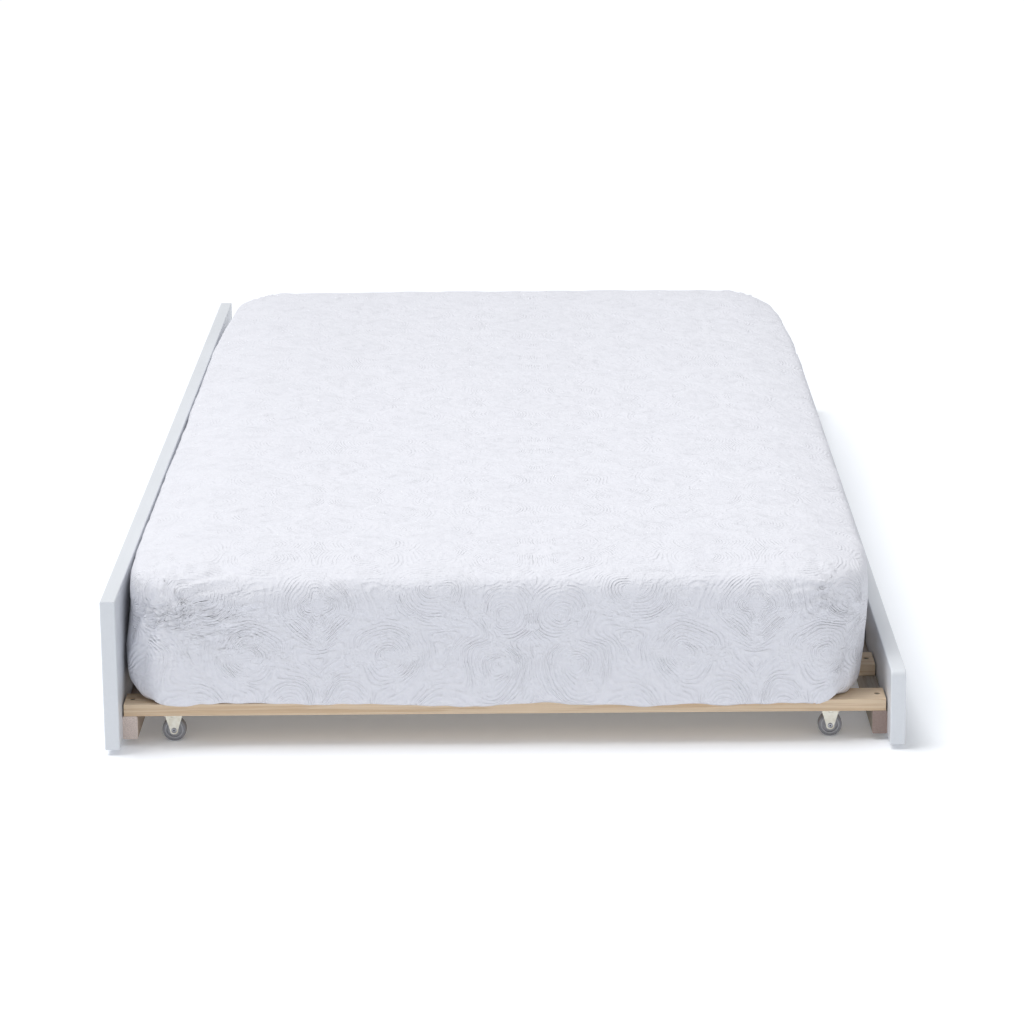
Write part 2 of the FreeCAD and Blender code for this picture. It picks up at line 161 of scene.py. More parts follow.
def pine(name, pale, dark, along, end_tone):
    """Planed pine whose grain runs along an axis, 0 or 1, with open pores on its ends."""
    finish = Finish(name, roughness=0.62, Specular_IOR_Level=0.35)

    def drawn_out(lengthwise, across):
        return finish.place(scale=[lengthwise if i == along else across for i in range(3)])

    figure = finish.noise(drawn_out(0.7, 26.0), 1.5, detail=5.0, rough=0.62, warp=0.35)
    sway = finish.noise(drawn_out(1.5, 8.0), 1.0)
    fibre = finish.noise(drawn_out(6.0, 900.0), 1.0, detail=3.0)
    board = finish.noise(drawn_out(0.4, 5.5), 1.0)
    wander = finish.math("MULTIPLY", sway, 9.0)
    lines = finish.math("SINE", finish.math("MULTIPLY_ADD", figure, 34.0, wander))
    late = finish.smooth(lines, 0.25, 1.0)
    base = finish.blend(finish.smooth(board, 0.3, 0.7), pale, [0.93 * c for c in pale])
    base = finish.blend(finish.math("MULTIPLY", late, 0.62), base, dark)
    base = finish.blend(finish.smooth(fibre, 0.4, 0.8, 0.0, 0.3), base, [0.8 * c for c in dark])
    normal = finish.add("ShaderNodeNewGeometry").outputs["Normal"]
    facing = finish.add("ShaderNodeSeparateXYZ", {"Vector": normal}).outputs[along]
    is_end = finish.smooth(finish.math("ABSOLUTE", facing), 0.7, 0.95)
    pores = finish.noise(finish.place(), 700.0, detail=3.0)
    end = finish.blend(finish.smooth(pores, 0.35, 0.7), end_tone, [0.78 * c for c in end_tone])
    finish.colour(finish.blend(is_end, base, end))
    finish.roughness(finish.smooth(late, 0.0, 1.0, 0.66, 0.52))
    finish.bump((late, 0.12 * MM), (fibre, 0.08 * MM), (pores, 0.05 * MM))
    return finish.material


# Metal and plastic of the casters and screws


def plated(name, tone, dull, roughness, metallic=1.0):
    """Plated steel, cloudy in tone, with fine scratches."""
    finish = Finish(name, roughness=roughness, metallic=metallic)
    spot = finish.place()
    cloud = finish.noise(spot, 160.0, detail=4.0)
    scored = finish.place(scale=(40, 900, 900), turn=(0.3, 0.5, 0.2))
    scratch = finish.noise(scored, 1.0, detail=3.0)
    finish.colour(finish.blend(finish.smooth(cloud, 0.3, 0.75), tone, dull))
    finish.roughness(finish.smooth(cloud, 0.3, 0.8, roughness - 0.06, roughness + 0.12))
    finish.bump((scratch, 0.02 * MM), (cloud, 0.03 * MM))
    return finish.material


def moulded(name, tone, worn, roughness):
    """Moulded plastic with a fine texture and a few scuffs."""
    finish = Finish(name, roughness=roughness)
    spot = finish.place()
    cloud = finish.noise(spot, 70.0, detail=3.0)
    scuff = finish.noise(finish.place(scale=(1, 3, 1)), 260.0, detail=4.0, warp=0.6)
    tone = finish.blend(cloud, tone, [0.9 * c for c in tone])
    finish.colour(finish.blend(finish.smooth(scuff, 0.55, 0.75, 0.0, 0.5), tone, worn))
    finish.roughness(finish.smooth(scuff, 0.4, 0.75, roughness - 0.05, roughness + 0.15))
    finish.bump((finish.noise(spot, 1800.0), 0.02 * MM), (scuff, 0.04 * MM))
    return finish.material


# Cover cloth. Its pattern is drawn in flat cloth coordinates, in metres: scrolls wound from
# narrow raised ribs, echoed by more ribs that flow round them, on a crinkled ground. It is
# mirrored about lines both ways, as woven damask is.

# The spacing of the mirror lines across and up the cloth, and a point where two of them cross.
HALF_REPEAT = 0.296
HALF_RISE = 0.290
MIRROR_AT = (0.0505, -1.160)
# The spacing of the ribs, of the bands where they stand higher, of the ground's lumps and
# patches, and of the cloth's puckers. Neighbouring motifs run together over the last length.
RIB = 0.0047
BAND = 0.0260
PEBBLE = 0.0075
PATCH = 0.036
PUCKER = 0.020
MELT = 0.034
# Each motif is (across, up, radius, turn, lobes, depth). Its ribs wind inwards where turn is 1
# or -1 and close on themselves where it is 0. Lobes and depth shape its edge.
MOTIFS = [
    (0.032, 0.158, 0.034, 1, 1, 0.15), (0.052, 0.078, 0.040, -1, 1, 0.20),
    (0.122, 0.020, 0.034, 1, 2, 0.15), (0.132, 0.192, 0.044, -1, 2, 0.15),
    (0.196, 0.096, 0.038, 1, 1, 0.22), (0.296, 0.168, 0.044, 0, 4, 0.10),
    (0.262, 0.030, 0.034, -1, 1, -0.20), (0.040, 0.258, 0.040, -1, 3, 0.12),
    (0.222, 0.262, 0.040, 1, 1, 0.20),
]


def shifted(finish, vector, size, reach):
    """Moves points about by smooth noise of a size, up to about a reach, so no line is perfect."""
    cloud = finish.add("ShaderNodeTexNoise", {"Vector": vector, "Scale": 1 / size, "Detail": 2.0})
    swing = finish.add("ShaderNodeVectorMath", {0: cloud.outputs["Color"], 1: (0.5, 0.5, 0.5)},
                       operation="SUBTRACT")
    inputs = {0: swing.outputs[0], 1: (reach * 3, reach * 3, 0), 2: vector}
    return finish.add("ShaderNodeVectorMath", inputs, operation="MULTIPLY_ADD").outputs[0]


def mirrored(finish, spot):
    """A point of the flat cloth, folded back into one quarter of the pattern's repeat."""
    centred = finish.add("ShaderNodeVectorMath", {0: spot, 1: (*MIRROR_AT, 0)},
                         operation="SUBTRACT").outputs[0]
    parts = finish.add("ShaderNodeSeparateXYZ", {"Vector": centred}).outputs
    across = finish.math("PINGPONG", parts[0], HALF_REPEAT)
    up = finish.math("PINGPONG", parts[1], HALF_RISE)
    return finish.add("ShaderNodeCombineXYZ", {"X": across, "Y": up}).outputs[0]


def motif_field(finish, point):
    """How far outside the nearest motif a point is, how many turns its ribs have wound there,
    and a share that falls to 0 at the motifs' centres."""
    nearest = 1.0
    winding = 0.0
    clear = 1.0
    for u, v, radius, turn, lobes, depth in MOTIFS:
        offset = finish.add("ShaderNodeVectorMath", {0: point, 1: (u, v, 0)}, operation="SUBTRACT")
        reach = finish.add("ShaderNodeVectorMath", {0: offset.outputs[0]}, operation="LENGTH")
        arm = finish.add("ShaderNodeSeparateXYZ", {"Vector": offset.outputs[0]}).outputs
        angle = finish.math("ARCTAN2", arm[1], arm[0])
        wave = finish.math("COSINE", finish.math("MULTIPLY", angle, float(lobes)))
        rim = finish.math("MULTIPLY_ADD", wave, radius * depth, radius)
        edge = finish.math("SUBTRACT", reach.outputs["Value"], rim)
        if turn:
            share = finish.smooth(edge, -0.012, 0.004, turn / math.tau, 0.0)
            winding = finish.math("MULTIPLY_ADD", angle, share, winding)
        nearest = finish.math("SMOOTH_MIN", edge, nearest, MELT)
        open_centre = finish.smooth(reach.outputs["Value"], 0.002, 0.018)
        clear = finish.math("MULTIPLY", clear, open_centre)
    return nearest, winding, clear


def damask(finish, spot):
    """The height of the woven pattern, from 0 to 1, at a point of the flat cloth."""
    folded = mirrored(finish, spot)
    point = shifted(finish, folded, 0.090, 0.009)
    nearest, winding, clear = motif_field(finish, point)
    phase = finish.math("MULTIPLY_ADD", nearest, 1 / RIB, winding)
    ribs = finish.math("COSINE", finish.math("MULTIPLY", phase, math.tau))
    band = finish.math("COSINE", finish.math("MULTIPLY", nearest, math.tau / BAND))
    band = finish.smooth(band, -0.8, 0.8, 0.65, 1.0)
    ribs = finish.math("MULTIPLY", finish.smooth(ribs, -1.2, 1.2), band)
    ribs = finish.math("MULTIPLY", ribs, clear)
    pebbles = finish.noise(spot, 1 / PEBBLE, detail=2.5, rough=0.6)
    pebbles = finish.smooth(pebbles, 0.30, 0.70)
    patch = finish.smooth(finish.noise(folded, 1 / PATCH, detail=2.0), 0.50, 0.60)
    difference = finish.math("SUBTRACT", pebbles, ribs)
    return finish.math("MULTIPLY_ADD", difference, patch, ribs)


def creases(finish, flat):
    """Fine creases, from 0 to 1, drawn out from the corner at the foot end's left. They keep to
    a strip just below the top's edge."""
    turned = finish.add("ShaderNodeMapping", {"Vector": flat, "Rotation": (0, 0, -0.26)})
    drawn = finish.add("ShaderNodeMapping", {"Vector": turned.outputs[0], "Scale": (28, 110, 1)})
    crease = finish.noise(drawn.outputs[0], 1.0, detail=3.0, rough=0.55, warp=0.6)
    parts = finish.add("ShaderNodeSeparateXYZ", {"Vector": flat}).outputs
    beside = finish.smooth(parts[0], -0.20, -0.40)
    below = finish.smooth(parts[1], -0.945, -0.975)
    above = finish.smooth(parts[1], -1.110, -1.030)
    strip = finish.math("MULTIPLY", below, above)
    return finish.math("MULTIPLY", crease, finish.math("MULTIPLY", beside, strip))


def cover_cloth():
    """White woven cloth: the damask, puckers, threads and weave, with painted shade that makes it a
    little darker where the pattern is low.
    """
    finish = Finish("cover_cloth", roughness=0.88, Specular_IOR_Level=0.25, Sheen_Weight=0.08,
                    Sheen_Roughness=0.5)
    flat = finish.add("ShaderNodeUVMap", uv_map="cloth").outputs["UV"]
    spot = shifted(finish, shifted(finish, flat, 0.060, 0.0035), 0.009, 0.0007)
    height = damask(finish, spot)
    facing = finish.add("ShaderNodeNewGeometry").outputs["Normal"]
    level = finish.add("ShaderNodeSeparateXYZ", {"Vector": facing}).outputs[2]
    relief = finish.math("MULTIPLY", height, finish.smooth(level, 0.45, 0.95, 0.9, 0.6))
    pucker = finish.noise(flat, 1 / PUCKER, detail=3.0, rough=0.6)
    thread = finish.noise(flat, 420.0, detail=3.0)
    weave = finish.noise(flat, 1400.0, detail=1.0)
    cloud = finish.noise(flat, 9.0, detail=3.0)
    # Painted shade: the cloth is darker where the pattern is low, in its grooves and crinkled
    # hollows, and lighter where it stands high.
    low = finish.blend(cloud, (0.782, 0.787, 0.845), (0.797, 0.802, 0.857))
    tone = finish.blend(finish.smooth(height, 0.0, 0.8), low, (0.815, 0.820, 0.873))
    slub = finish.smooth(thread, 0.45, 0.8, 0.0, 0.3)
    finish.colour(finish.blend(slub, tone, (0.802, 0.805, 0.855)))
    finish.roughness(finish.smooth(height, 0.0, 1.0, 0.93, 0.82))
    finish.bump((pucker, 4.5 * MM), (creases(finish, flat), 5.5 * MM), (relief, 1.1 * MM),
                (thread, 0.45 * MM), (weave, 0.1 * MM))
    return finish.material


def binding():
    """Elastic tape folded over the cover's edge, ribbed across."""
    finish = Finish("binding", roughness=0.9, Specular_IOR_Level=0.2)
    spot = finish.place()
    ribs = finish.noise(finish.place(scale=(320, 320, 60)), 1.0, detail=1.0)
    knit = finish.noise(spot, 1500.0, detail=2.0)
    finish.colour(finish.blend(ribs, (0.78, 0.78, 0.83), (0.86, 0.86, 0.90)))
    finish.roughness(finish.smooth(knit, 0.3, 0.7, 0.85, 0.95))
    finish.bump((ribs, 0.5 * MM), (knit, 0.2 * MM))
    return finish.material


def ticking():
    """Knitted cloth round the mattress itself, quilted in small diamonds, with painted shade along
    the stitched lines.
    """
    finish = Finish("ticking", roughness=0.9, Sheen_Weight=0.1, Sheen_Roughness=0.5)
    spot = finish.place()
    stitched = []
    for slant in (45, -45):
        turned = finish.place(turn=(0, 0, math.radians(slant)))
        across = finish.add("ShaderNodeSeparateXYZ", {"Vector": turned}).outputs[0]
        wave = finish.math("SINE", finish.math("MULTIPLY", across, 70.0))
        stitched.append(finish.math("ABSOLUTE", wave))
    puff = finish.smooth(finish.math("MINIMUM", *stitched), 0.0, 0.6)
    knit = finish.noise(spot, 900.0, detail=2.0)
    # Painted shade: the cloth darkens from each puff into the stitched lines of the quilting.
    finish.colour(finish.blend(puff, (0.70, 0.69, 0.66), (0.84, 0.83, 0.80)))
    finish.roughness(finish.smooth(knit, 0.3, 0.7, 0.85, 0.95))
    finish.bump((puff, 2.5 * MM), (knit, 0.2 * MM))
    return finish.material


# Giving the CAD nodes their finishes


def coat(mesh, finish):
    """Makes a finish a mesh's only one."""
    mesh.materials.clear()
    mesh.materials.append(finish)


def paint(finish, *nodes):
    for node in nodes:
        coat(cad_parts[node].data, finish)


def numbered(stem, count, digits=1):
    """The names of nodes that differ in their number alone."""
    return [f"{stem}_{n:0{digits}d}" for n in range(1, count + 1)]


paint(white_paint(), "front_panel", "rear_panel")
ACROSS_BED, ALONG_BED = 0, 1
paint(pine("slat_pine", (0.80, 0.635, 0.46), (0.62, 0.43, 0.26), ACROSS_BED,
           (0.66, 0.52, 0.38)), *numbered("slat", 13, 2))
# The ledgers' long faces are darker than the slats. This is partly painted shade for their place
# under the slats, and partly a greyer wood of their own. The front ledger's pale ends are its own
# colour.
paint(pine("ledger_pine", (0.56, 0.46, 0.38), (0.40, 0.30, 0.23), ALONG_BED,
           (0.78, 0.66, 0.60)), "front_ledger")
# Painted shade: the rear ledger gets a darker copy of the ledger pine, ends included. It stands in
# for the deeper shade that the ledger lies in, not for age.
paint(pine("ledger_pine_painted_shade", (0.40, 0.36, 0.31), (0.28, 0.22, 0.18), ALONG_BED,
           (0.36, 0.27, 0.24)), "rear_ledger")
paint(plated("bracket_zinc", (0.86, 0.84, 0.75), (0.77, 0.73, 0.62), 0.42, 0.55),
      *numbered("caster_bracket", 6))
paint(plated("rivet_steel", (0.50, 0.51, 0.54), (0.24, 0.24, 0.26), 0.25), *numbered("axle", 6))
paint(plated("screw_zinc", (0.30, 0.29, 0.27), (0.12, 0.11, 0.10), 0.45),
      "slat_screws", "ledger_screws")
paint(plated("caster_zinc", (0.78, 0.76, 0.68), (0.60, 0.57, 0.48), 0.40, 0.6), "caster_screws")
paint(moulded("wheel_plastic", (0.50, 0.50, 0.53), (0.58, 0.58, 0.60), 0.45),
      *numbered("wheel_hub", 6))
paint(moulded("tread_plastic", (0.27, 0.27, 0.29), (0.36, 0.36, 0.38), 0.55),
      *numbered("tyre", 6))


# The covered mattress


# Radii: the upright corners, the edge round the top and the edge round the foot.
CORNER = 0.095
SHOULDER = 0.021
FOOT = 0.014
# The top falls away by CROWN at its edge, starting CROWN_REACH inside it. Its corners sink more.
CROWN = 0.013
CROWN_REACH = 0.120
SINK_NEAR = 0.004
SINK_FAR_LEFT = 0.012
SINK_FAR_RIGHT = 0.026
# How far the long sides stand out, the foot hangs down in front of the first slat, and the near
# corners are squared at the foot.
BULGE = 0.013
FOOT_SAG = 0.0095
FOOT_SQUARE = 0.014
# The cloth turned under the mattress, the tape bound round its edge, the gap that keeps cloth
# off what it lies on, and how far the pad is inside the cover.
HEM_TURN = 0.060
HEM_THICK = 0.0018
CLOTH_LIFT = 0.0003
PAD_IN = 0.007
# The simulation's grid, how far inside the outline it starts, the most it may move a point, and
# how many steps it takes.
GRID = 0.0125
FIRST_IN = 0.002
SWELL_CAP = 0.006
SWELL_STEPS = 20
# How much cloth goes over the top's edge, the height where the sides begin, and the height at
# which cloth lies on the slats.
SHOULDER_TRAVEL = SHOULDER * math.pi / 2
SHOULDER_LEVEL = COVER_HIGH.z - SHOULDER
LAID = SLAT_TOP + CLOTH_LIFT
# A quarter circle's handle as a share of its radius, a number too small to matter that keeps
# divisions safe, and the least reach or slant that counts as being round a corner.
ARC_HANDLE = 0.5523
TINY = 1e-9
ON_ARC = 1e-6


def mesh_piece(name, bm):
    """A new object from a bmesh, linked to the scene."""
    mesh = bpy.data.meshes.new(name)
    bm.to_mesh(mesh)
    bm.free()
    piece = bpy.data.objects.new(name, mesh)
    scene.collection.objects.link(piece)
    return piece


def settled(piece):
    """Takes a piece's modifiers into its mesh."""
    graph = bpy.context.evaluated_depsgraph_get()
    mesh = bpy.data.meshes.new_from_object(piece.evaluated_get(graph))
    piece.modifiers.clear()
    piece.data = mesh
    return piece


def dress(mesh, finish):
    """Gives a mesh one finish and smooth shading."""
    coat(mesh, finish)
    mesh.polygons.foreach_set("use_smooth", [True] * len(mesh.polygons))


def block():
    """The mattress's outline as a solid, with upright corners and soft edges rounded."""
    bm = bmesh.new()
    bmesh.ops.create_cube(bm, size=1)
    bmesh.ops.scale(bm, vec=COVER_HIGH - COVER_LOW, verts=bm.verts)
    bmesh.ops.translate(bm, vec=MIDDLE, verts=bm.verts)
    upright = [e for e in bm.edges if abs(e.verts[0].co.z - e.verts[1].co.z) > MM]
    settings = {"affect": "EDGES", "offset_type": "OFFSET", "profile": 0.5, "material": -1}
    bmesh.ops.bevel(bm, geom=upright, offset=CORNER, segments=12, **settings)
    for height, radius in ((COVER_HIGH.z, SHOULDER), (COVER_LOW.z, FOOT)):
        rim = [e for e in bm.edges if all(abs(v.co.z - height) < MM for v in e.verts)]
        bmesh.ops.bevel(bm, geom=rim, offset=radius, segments=8, **settings)
    form = mesh_piece("mattress_form", bm)
    remesh = form.modifiers.new("grid", "REMESH")
    remesh.mode = "VOXEL"
    remesh.voxel_size = GRID
    return settled(form)


def read(mesh):
    """A mesh's points, a row each."""
    flat = np.zeros(len(mesh.vertices) * 3)
    mesh.vertices.foreach_get("co", flat)
    return flat.reshape(-1, 3)


def write(mesh, points):
    """Moves a mesh's points to new places."""
    mesh.vertices.foreach_set("co", np.ascontiguousarray(points, dtype=float).ravel())
    mesh.update()


def outward(mesh):
    """The way that a mesh faces at each of its points."""
    flat = np.zeros(len(mesh.vertices) * 3)
    mesh.vertices.foreach_get("normal", flat)
    return flat.reshape(-1, 3)


def ease(values, low, high):
    """Rises smoothly from 0 to 1 as values go from low to high."""
    share = np.clip((values - low) / (high - low), 0, 1)
    return share * share * (3 - 2 * share)


def ripple(points, size):
    """Smooth noise from -1 to 1 whose lumps are about one size across."""
    return np.array([noise.noise(Vector(p) / size) for p in points])


def swell(form):
    """Fills the form with air pressure, as foam fills its cover, and limits how far it moves."""
    facing = outward(form.data)
    start = read(form.data) - facing * FIRST_IN
    write(form.data, start)
    cloth = form.modifiers.new("swell", "CLOTH")
    cloth.settings.quality = 4
    cloth.settings.mass = 0.4
    cloth.settings.tension_stiffness = 30
    cloth.settings.compression_stiffness = 30
    cloth.settings.bending_stiffness = 6
    cloth.settings.use_pressure = True
    cloth.settings.uniform_pressure_force = 4
    cloth.settings.effector_weights.gravity = 0
    cloth.collision_settings.use_collision = False
    cloth.point_cache.frame_end = SWELL_STEPS
    for step in range(1, SWELL_STEPS + 1):
        scene.frame_set(step)
    settled(form)
    scene.frame_set(1)
    moved = read(form.data) - start
    rise = (moved * facing).sum(axis=1, keepdims=True)
    moved += facing * (np.maximum(rise, 0) - rise)
    far = np.linalg.norm(moved, axis=1, keepdims=True)
    moved *= np.minimum(1.0, SWELL_CAP / np.maximum(far, TINY))
    write(form.data, start + moved)


def from_middle(points):
    """Where points are in plan, counted from the mattress's middle."""
    return points[:, :2] - np.array(MIDDLE.xy)


def plan(points):
    """How deep points are inside the mattress's plan outline, the way out, and the angle round
    a corner from the way that the ends face."""
    offset = from_middle(points)
    side = np.where(offset < 0, -1.0, 1.0)
    past = np.abs(offset) - (np.array([HALF_WIDE, HALF_LONG]) - CORNER)
    beyond = np.maximum(past, 0)
    reach = np.linalg.norm(beyond, axis=1)
    deep = CORNER - reach - np.minimum(past.max(axis=1), 0)
    straight = np.where(past[:, :1] > past[:, 1:], [[1.0, 0.0]], [[0.0, 1.0]])
    round_arc = beyond / np.maximum(reach, TINY)[:, None]
    out = np.where(reach[:, None] > ON_ARC, round_arc, straight)
    return deep, out * side, np.arctan2(out[:, 0], out[:, 1])


def at_corner(out):
    """Whether points lie round one of the upright corners, from the way out at each."""
    return (np.abs(out) > ON_ARC).all(axis=1)


def side_bulge(offset, up):
    """How far the long sides stand out to left and right, as a share of BULGE. The left one is
    full down to its foot, and both are flat at the head end."""
    tail = ease(offset[:, 1], 1.0, 0.5)
    along = ease(offset[:, 1], -1.05, -0.80) * tail
    high = ease(up, 0.060, 0.150)
    low = 1.2 * ease(up, 0.0, 0.035) * ease(offset[:, 1], -1.10, -0.86) * tail
    left = high * along + (1 - high) * low
    right = along * ease(up, 0.02, 0.13)
    share = np.where(offset[:, 0] < 0, left, right)
    return share * ease(np.abs(offset[:, 0]), 0.75, 1.0) * np.sign(offset[:, 0])


def foot_push(rest, offset, up):
    """How the two near corners move at their foot: both forwards, the left one outwards as
    well, and the right one slightly inwards."""
    deep, out, round_corner = plan(rest)
    square = np.sin(2 * round_corner) ** 2 * ease(deep, HEM_TURN, 0) * (offset[:, 1] < 0)
    push = out * (FOOT_SQUARE * square * ease(up, 0.120, 0.030))[:, None]
    push[:, 0] *= np.where(offset[:, 0] < 0, 1.0, -0.2)
    return push


def top_fall(rest, offset):
    """How far the top falls away near its edge and sinks at its corners."""
    sink_far = np.where(offset[:, 0] > 0, SINK_FAR_RIGHT, SINK_FAR_LEFT)
    sink = np.where(offset[:, 1] > 0, sink_far, SINK_NEAR)
    share = np.abs(offset[:, 0]) ** 10 * np.abs(offset[:, 1]) ** 6
    deep, _, _ = plan(rest)
    crown = CROWN * (1 - np.clip(deep / CROWN_REACH, 0, 1)) ** 2
    crown *= 1 - 0.6 * ease(offset[:, 1], 0.2, 0.9)
    return (sink * share + crown) * ease(rest[:, 2], COVER_LOW.z, COVER_HIGH.z)


def slump(form, rest):
    """Gives the form the set of a used mattress: its sides out, its top down at the edges."""
    points = read(form.data)
    offset = from_middle(rest) / np.array([HALF_WIDE, HALF_LONG])
    up = rest[:, 2] - SLAT_TOP
    points[:, 0] += BULGE * side_bulge(offset, up)
    points[:, :2] += foot_push(rest, offset, up)
    points[:, 2] -= top_fall(rest, offset)
    points[:, 2] = np.maximum(points[:, 2], LAID)
    write(form.data, points)


def travel(rest, deep):
    """How far down the cloth a point is from where the top starts to round over."""
    drop = SHOULDER_LEVEL - rest[:, 2]
    bend = np.arctan2(np.maximum(SHOULDER - deep, 0), np.maximum(-drop, 0) + TINY)
    under = np.where(drop > 0, np.maximum(deep - FOOT, 0), 0)
    below = SHOULDER_TRAVEL + drop + under
    return np.where(drop > 0, below, np.where(deep < SHOULDER, SHOULDER * bend, 0))


def flat_cloth(rest, onto_side):
    """Where each point of the cover lies on the cloth when that is spread out flat. Below the
    shoulder the corners are darted, so a point there belongs to an end or to a side."""
    offset = from_middle(rest)
    sign = np.where(offset < 0, -1.0, 1.0)
    deep, out, round_corner = plan(rest)
    gone = travel(rest, deep)
    off_top = (deep < SHOULDER) | (rest[:, 2] < SHOULDER_LEVEL)
    extra = np.where(off_top, gone - (SHOULDER - deep), 0)
    radial = offset + out * extra[:, None]
    end_run = HALF_WIDE - CORNER + CORNER * round_corner
    side_run = HALF_LONG - CORNER + CORNER * (math.pi / 2 - round_corner)
    hang = gone - SHOULDER
    in_corner = at_corner(out)
    end_x = np.where(in_corner, end_run, np.abs(offset[:, 0]))
    side_y = np.where(in_corner, side_run, np.abs(offset[:, 1]))
    end = np.column_stack([end_x, HALF_LONG + hang]) * sign
    long_side = np.column_stack([HALF_WIDE + hang, side_y]) * sign
    panel = np.where(onto_side[:, None], long_side, end)
    darted = ease(gone, SHOULDER_TRAVEL, SHOULDER_TRAVEL + 0.06)
    share = np.where(in_corner, darted, 0)[:, None]
    return radial * (1 - share) + panel * share


def motif_edge(flat):
    """How far outside the nearest motif of the pattern each point of the flat cloth is."""
    def fold(values, half):
        return half - np.abs(np.mod(values, 2 * half) - half)

    across = fold(flat[:, 0] - MIRROR_AT[0], HALF_REPEAT)
    up = fold(flat[:, 1] - MIRROR_AT[1], HALF_RISE)
    return np.min([np.hypot(across - u, up - v) - r for u, v, r, *_ in MOTIFS], axis=0)


# Where the cloth is pulled: (end, side, reach, height of the folds, folds a turn).
PULLS = [
    (-1, -1, 0.140, 0.0030, 23), (-1, 1, 0.060, 0.0035, 17),
    (1, -1, 0.080, 0.0030, 19), (1, 1, 0.085, 0.0035, 18),
]


def folds(rest, gone):
    """Creases that run out from the cover's top corners, where the cloth is drawn tight."""
    offset = from_middle(rest)
    height = np.zeros(len(rest))
    for end, side, reach, rise, count in PULLS:
        across = side * offset[:, 0] - (HALF_WIDE - 0.030)
        away = np.hypot(across, gone - SHOULDER_TRAVEL)
        angle = np.arctan2(gone - SHOULDER_TRAVEL, -across)
        wave = np.sin(count * angle + 2.5 * ripple(rest, 0.05))
        near = np.exp(-(away / reach) ** 2) * ease(away, 0.006, 0.030)
        height += rise * wave * near * (end * offset[:, 1] > HALF_LONG - 0.05)
    return height


def seams(rest, gone):
    """The sewn darts down the four corners: a groove with a little fullness each side."""
    _, out, round_corner = plan(rest)
    away = CORNER * np.abs(round_corner - math.pi / 4)
    below = ease(gone, SHOULDER_TRAVEL * 0.5, SHOULDER_TRAVEL + 0.03)
    groove = 2.2 * MM * np.exp(-(away / 0.0065) ** 2)
    fullness = 1.2 * MM * np.exp(-((away - 0.018) / 0.01) ** 2)
    return (fullness - groove) * below * at_corner(out)


def sag(points):
    """How far the cover's foot hangs down where it stands out past the first slat. It hangs
    from level at the left corner to its lowest right of the middle."""
    across = np.clip((points[:, 0] + 0.47) / 0.60, 0, 1) ** 0.7
    past = ease(SLAT_FACE - points[:, 1], 0.001, 0.010)
    near = 1 - ease(points[:, 2], SLAT_TOP + 0.004, SLAT_TOP + 0.060)
    return (FOOT_SAG + 1.2 * MM * ripple(points, 0.060)) * across * past * near


def unevenness(points, rest):
    """Small random lumps of three sizes, fainter near the head end."""
    lumps = 1.0 * MM * ripple(points, 0.024) + 1.2 * MM * ripple(points, 0.060)
    lumps += 1.4 * MM * ripple(points, 0.24)
    return lumps * (1 - 0.8 * ease(rest[:, 1], COVER_HIGH.y - 0.30, COVER_HIGH.y - 0.10))


def shape_cover(mesh, rest, flat):
    """Raises the pattern, and lays in the creases, darts and wavy hem."""
    points = read(mesh)
    normals = outward(mesh)
    deep, out, _ = plan(rest)
    gone = travel(rest, deep)
    turned_under = rest[:, 2] < COVER_LOW.z + MM
    pattern = 1.2 * MM * ease(-motif_edge(flat), -0.010, 0.016)
    lift = pattern + unevenness(points, rest) + folds(rest, gone) + seams(rest, gone)
    lift = np.where(turned_under, 0, lift)
    side = ease(gone, SHOULDER_TRAVEL, SHOULDER_TRAVEL + 0.02)
    low = ease(rest[:, 2], COVER_LOW.z + 0.055, COVER_LOW.z + 0.004) * side
    wave = 3.5 * MM * ripple(points * [1, 1, 0], 0.085) * low
    points = points + normals * lift[:, None]
    points[:, :2] += out * (wave * ~turned_under)[:, None]
    rim = ease(deep, HEM_TURN - 0.02, HEM_TURN) * turned_under
    points[:, 2] = np.maximum(points[:, 2], LAID) + (HEM_THICK - CLOTH_LIFT) * rim
    points[:, 2] -= sag(points)
    points[:, 0] = np.maximum(points[:, 0], PANEL_FACE + CLOTH_LIFT)
    write(mesh, points)


def make_pad(form):
    """The mattress inside the cover, which lies on the slats where the cover is open below."""
    pad = bpy.data.objects.new("mattress_pad", form.data.copy())
    scene.collection.objects.link(pad)
    points = read(pad.data) - outward(pad.data) * PAD_IN
    deep, _, _ = plan(points)
    inside = ease(deep, HEM_TURN + 0.005, HEM_TURN + 0.040)
    low = points[:, 2] < SLAT_TOP + PAD_IN + MM
    points[:, 2] -= (PAD_IN - CLOTH_LIFT) * inside * low
    points[:, 2] = np.maximum(points[:, 2], LAID)
    write(pad.data, points)
    dress(pad.data, ticking())
    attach(pad, "mattress")
    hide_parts("mattress_core")


